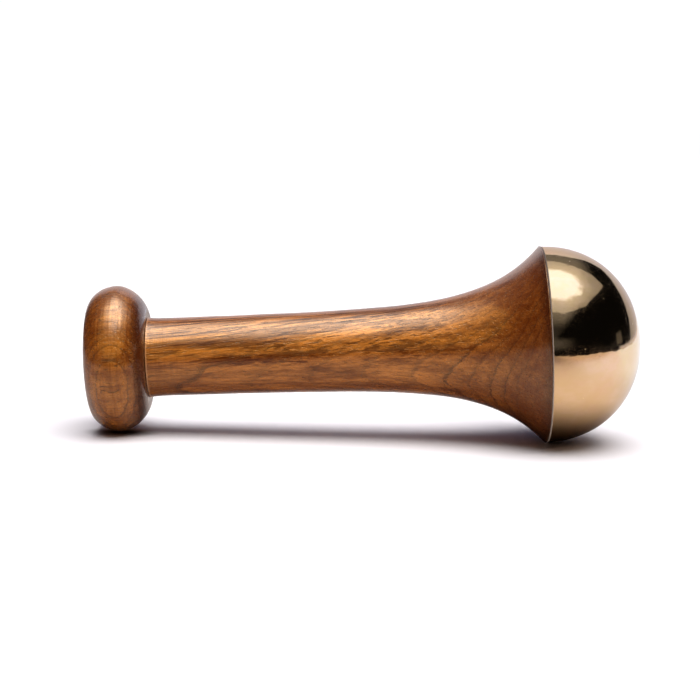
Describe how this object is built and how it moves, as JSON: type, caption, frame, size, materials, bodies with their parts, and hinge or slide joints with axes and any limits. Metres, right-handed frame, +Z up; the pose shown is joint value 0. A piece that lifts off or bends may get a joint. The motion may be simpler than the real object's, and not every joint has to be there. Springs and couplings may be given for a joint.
{
  "type": "bronze dome massage wand",
  "caption": "Hand-held massage wand: turned hardwood handle flaring to a round rim, closed by a polished bronze dome, with a rounded turned pommel at the other end.",
  "frame": {"origin": "centre of the flat face that ends the pommel, on the wand's axis", "axes": "+X runs along the wand's axis from the pommel to the dome's tip; +Z is up with the axis held level, as the wand lies on its side"},
  "size_m": [0.1594, 0.057, 0.057],
  "materials": {
    "handle_wood": "glossy clear varnish over golden-brown figured hardwood",
    "pommel_wood": "glossy clear varnish over golden-brown hardwood with fine turning marks",
    "wood_glue": "set wood glue, hidden inside the joint",
    "bronze": "mirror-polished bronze with faint hairline scratches",
    "bonding_resin": "dark set resin, seen only as a thin line at the seam"
  },
  "bodies": {
    "root": {"handle": "handle_wood", "pommel": "pommel_wood", "pommel_glue": "wood_glue", "dome": "bronze", "dome_resin": "bonding_resin"}
  },
  "joints": []
}
